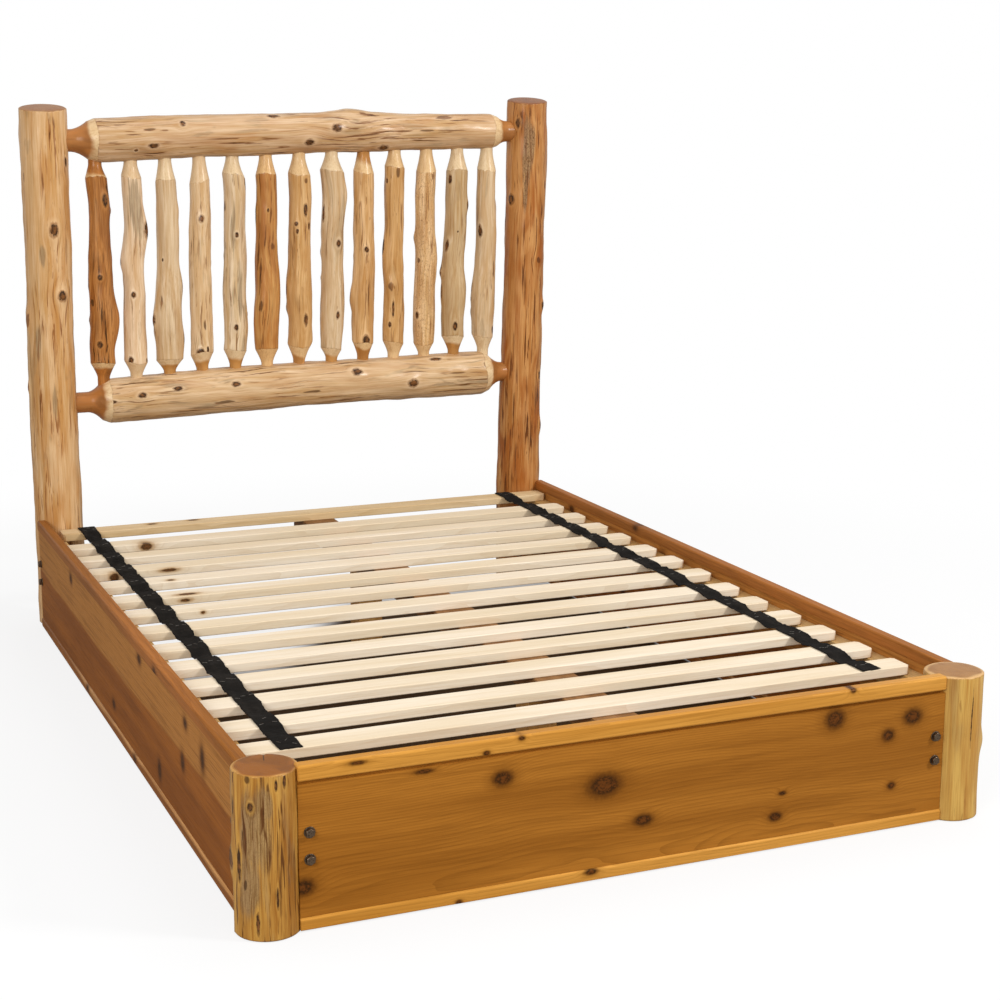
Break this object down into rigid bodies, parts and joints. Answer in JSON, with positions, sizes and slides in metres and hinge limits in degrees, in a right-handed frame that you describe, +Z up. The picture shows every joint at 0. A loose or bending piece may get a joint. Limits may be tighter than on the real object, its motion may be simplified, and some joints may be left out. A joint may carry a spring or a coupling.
{
  "type": "log bed",
  "caption": "Rustic peeled-log bed for a double mattress: log headboard with spindles, short log foot posts, panelled side and foot rails and strapped slats.",
  "frame": {"origin": "on the floor, in the middle of the bed's outline", "axes": "+X to the right of someone at the foot of the bed, +Y from the foot towards the headboard, +Z up"},
  "size_m": [1.493, 2.179, 1.38],
  "materials": {
    "post_tan": "oiled, peeled log",
    "post_red": "oiled, peeled log",
    "post_cream": "clear finish, peeled log",
    "rail_log": "clear finish, peeled log",
    "spindle_cream": "clear finish, peeled pole",
    "spindle_amber": "clear finish, peeled pole",
    "board_golden": "golden stain",
    "board_brown": "warm brown stain",
    "pine": "bare sawn pine",
    "webbing": "woven strap",
    "steel": "dark zinc"
  },
  "bodies": {
    "root": {"beam_leg_1": "pine", "beam_leg_2": "pine", "centre_beam": "pine", "foot_base_trim": "board_golden", "foot_block_left": "pine", "foot_block_right": "pine", "foot_cap": "board_golden", "foot_panel": "board_golden", "foot_post_left": "post_cream", "foot_post_right": "post_cream", "head_lower_rail": "rail_log", "head_post_left": "post_tan", "head_post_right": "post_red", "head_upper_rail": "rail_log", "lag_bolts": "steel", "side_base_trim_left": "board_brown", "side_base_trim_right": "board_brown", "side_cap_left": "board_brown", "side_cap_right": "board_brown", "side_foot_block_left": "pine", "side_foot_block_right": "pine", "side_head_block_left": "pine", "side_head_block_right": "pine", "side_panel_left": "board_brown", "side_panel_right": "board_brown", "slat_01": "pine", "slat_02": "pine", "slat_03": "pine", "slat_04": "pine", "slat_05": "pine", "slat_06": "pine", "slat_07": "pine", "slat_08": "pine", "slat_09": "pine", "slat_10": "pine", "slat_11": "pine", "slat_12": "pine", "slat_13": "pine", "slat_14": "pine", "slat_ledger_left": "pine", "slat_ledger_right": "pine", "spindle_01": "spindle_amber", "spindle_02": "spindle_cream", "spindle_03": "spindle_cream", "spindle_04": "spindle_cream", "spindle_05": "spindle_cream", "spindle_06": "spindle_amber", "spindle_07": "spindle_cream", "spindle_08": "spindle_cream", "spindle_09": "spindle_amber", "spindle_10": "spindle_cream", "spindle_11": "spindle_amber", "spindle_12": "spindle_cream", "spindle_13": "spindle_cream", "strap_left": "webbing", "strap_right": "webbing", "washers": "steel"}
  },
  "joints": []
}
